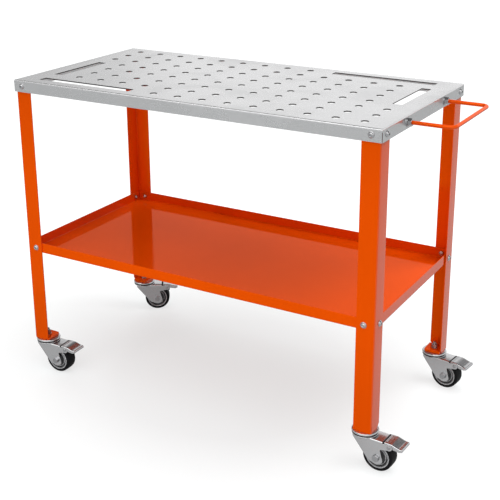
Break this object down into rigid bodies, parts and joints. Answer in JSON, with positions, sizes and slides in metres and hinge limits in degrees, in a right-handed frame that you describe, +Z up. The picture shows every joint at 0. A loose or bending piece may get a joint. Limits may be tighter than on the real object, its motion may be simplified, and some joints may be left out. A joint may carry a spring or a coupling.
{
  "type": "mobile welding table",
  "caption": "Rolling welding table with a perforated, slotted folded steel top, painted angle legs, a tray shelf, a push handle and swivel casters with brake pedals.",
  "frame": {"origin": "on the floor under the centre of the table top", "axes": "+X along the length of the top towards the push handle, +Y to the rear, +Z up"},
  "size_m": [1.016, 0.499, 0.737],
  "materials": {
    "zinc_sheet": "satin zinc coat",
    "orange_paint": "glossy paint",
    "zinc_pressing": "bright zinc plate",
    "bright_steel": "bright zinc plate",
    "tyre_rubber": "smooth matt rubber",
    "grey_hub": "moulded"
  },
  "bodies": {
    "table": {"table_top": "zinc_sheet", "shelf_tray": "orange_paint", "push_handle": "orange_paint", "leg_front_left": "orange_paint", "leg_front_right": "orange_paint", "leg_rear_left": "orange_paint", "leg_rear_right": "orange_paint", "handle_nut_front": "bright_steel", "handle_nut_rear": "bright_steel", "handle_lock_nut_front": "bright_steel", "handle_lock_nut_rear": "bright_steel", "king_pin_front_left": "bright_steel", "stem_nut_front_left": "bright_steel", "swivel_race_front_left": "zinc_pressing", "ball_ring_front_left": "bright_steel", "king_pin_front_right": "bright_steel", "stem_nut_front_right": "bright_steel", "swivel_race_front_right": "zinc_pressing", "ball_ring_front_right": "bright_steel", "king_pin_rear_left": "bright_steel", "stem_nut_rear_left": "bright_steel", "swivel_race_rear_left": "zinc_pressing", "ball_ring_rear_left": "bright_steel", "king_pin_rear_right": "bright_steel", "stem_nut_rear_right": "bright_steel", "swivel_race_rear_right": "zinc_pressing", "ball_ring_rear_right": "bright_steel"},
    "swivel_front_left": {"fork_front_left": "zinc_pressing", "axle_bolt_front_left": "bright_steel", "axle_nut_front_left": "bright_steel", "axle_bush_front_left": "bright_steel", "pedal_pin_front_left": "bright_steel"},
    "wheel_front_left": {"wheel_hub_front_left": "grey_hub", "tyre_front_left": "tyre_rubber"},
    "brake_front_left": {"brake_pedal_front_left": "zinc_pressing"},
    "swivel_front_right": {"fork_front_right": "zinc_pressing", "axle_bolt_front_right": "bright_steel", "axle_nut_front_right": "bright_steel", "axle_bush_front_right": "bright_steel", "pedal_pin_front_right": "bright_steel"},
    "wheel_front_right": {"wheel_hub_front_right": "grey_hub", "tyre_front_right": "tyre_rubber"},
    "brake_front_right": {"brake_pedal_front_right": "zinc_pressing"},
    "swivel_rear_left": {"fork_rear_left": "zinc_pressing", "axle_bolt_rear_left": "bright_steel", "axle_nut_rear_left": "bright_steel", "axle_bush_rear_left": "bright_steel", "pedal_pin_rear_left": "bright_steel"},
    "wheel_rear_left": {"wheel_hub_rear_left": "grey_hub", "tyre_rear_left": "tyre_rubber"},
    "brake_rear_left": {"brake_pedal_rear_left": "zinc_pressing"},
    "swivel_rear_right": {"fork_rear_right": "zinc_pressing", "axle_bolt_rear_right": "bright_steel", "axle_nut_rear_right": "bright_steel", "axle_bush_rear_right": "bright_steel", "pedal_pin_rear_right": "bright_steel"},
    "wheel_rear_right": {"wheel_hub_rear_right": "grey_hub", "tyre_rear_right": "tyre_rubber"},
    "brake_rear_right": {"brake_pedal_rear_right": "zinc_pressing"}
  },
  "joints": [
    {"name": "swivel_turn_front_left", "type": "hinge", "parent": "table", "child": "swivel_front_left", "pos_m": [-0.4312, -0.2027, 0.08], "axis": [0, 0, 1], "continuous": true},
    {"name": "wheel_spin_front_left", "type": "hinge", "parent": "swivel_front_left", "child": "wheel_front_left", "pos_m": [-0.39522, -0.20144, 0.034], "axis": [-0.0349, 0.9994, 0], "continuous": true},
    {"name": "brake_press_front_left", "type": "hinge", "parent": "swivel_front_left", "child": "brake_front_left", "pos_m": [-0.36774, -0.20048, 0.06654], "axis": [-0.0349, 0.9994, 0], "range_deg": [0, 12]},
    {"name": "swivel_turn_front_right", "type": "hinge", "parent": "table", "child": "swivel_front_right", "pos_m": [0.4312, -0.2027, 0.08], "axis": [0, 0, 1], "continuous": true},
    {"name": "wheel_spin_front_right", "type": "hinge", "parent": "swivel_front_right", "child": "wheel_front_right", "pos_m": [0.46715, -0.20458, 0.034], "axis": [0.0523, 0.9986, 0], "continuous": true},
    {"name": "brake_press_front_right", "type": "hinge", "parent": "swivel_front_right", "child": "brake_front_right", "pos_m": [0.49461, -0.20602, 0.06654], "axis": [0.0523, 0.9986, 0], "range_deg": [0, 12]},
    {"name": "swivel_turn_rear_left", "type": "hinge", "parent": "table", "child": "swivel_rear_left", "pos_m": [-0.4312, 0.2027, 0.08], "axis": [0, 0, 1], "continuous": true},
    {"name": "wheel_spin_rear_left", "type": "hinge", "parent": "swivel_rear_left", "child": "wheel_rear_left", "pos_m": [-0.40101, 0.22231, 0.034], "axis": [-0.5446, 0.8387, 0], "continuous": true},
    {"name": "brake_press_rear_left", "type": "hinge", "parent": "swivel_rear_left", "child": "brake_rear_left", "pos_m": [-0.37795, 0.23728, 0.06654], "axis": [-0.5446, 0.8387, 0], "range_deg": [0, 12]},
    {"name": "swivel_turn_rear_right", "type": "hinge", "parent": "table", "child": "swivel_rear_right", "pos_m": [0.4312, 0.2027, 0.08], "axis": [0, 0, 1], "continuous": true},
    {"name": "wheel_spin_rear_right", "type": "hinge", "parent": "swivel_rear_right", "child": "wheel_rear_right", "pos_m": [0.46693, 0.19831, 0.034], "axis": [0.1219, 0.9925, 0], "continuous": true},
    {"name": "brake_press_rear_right", "type": "hinge", "parent": "swivel_rear_right", "child": "brake_rear_right", "pos_m": [0.49422, 0.19496, 0.06654], "axis": [0.1219, 0.9925, 0], "range_deg": [0, 12]}
  ]
}
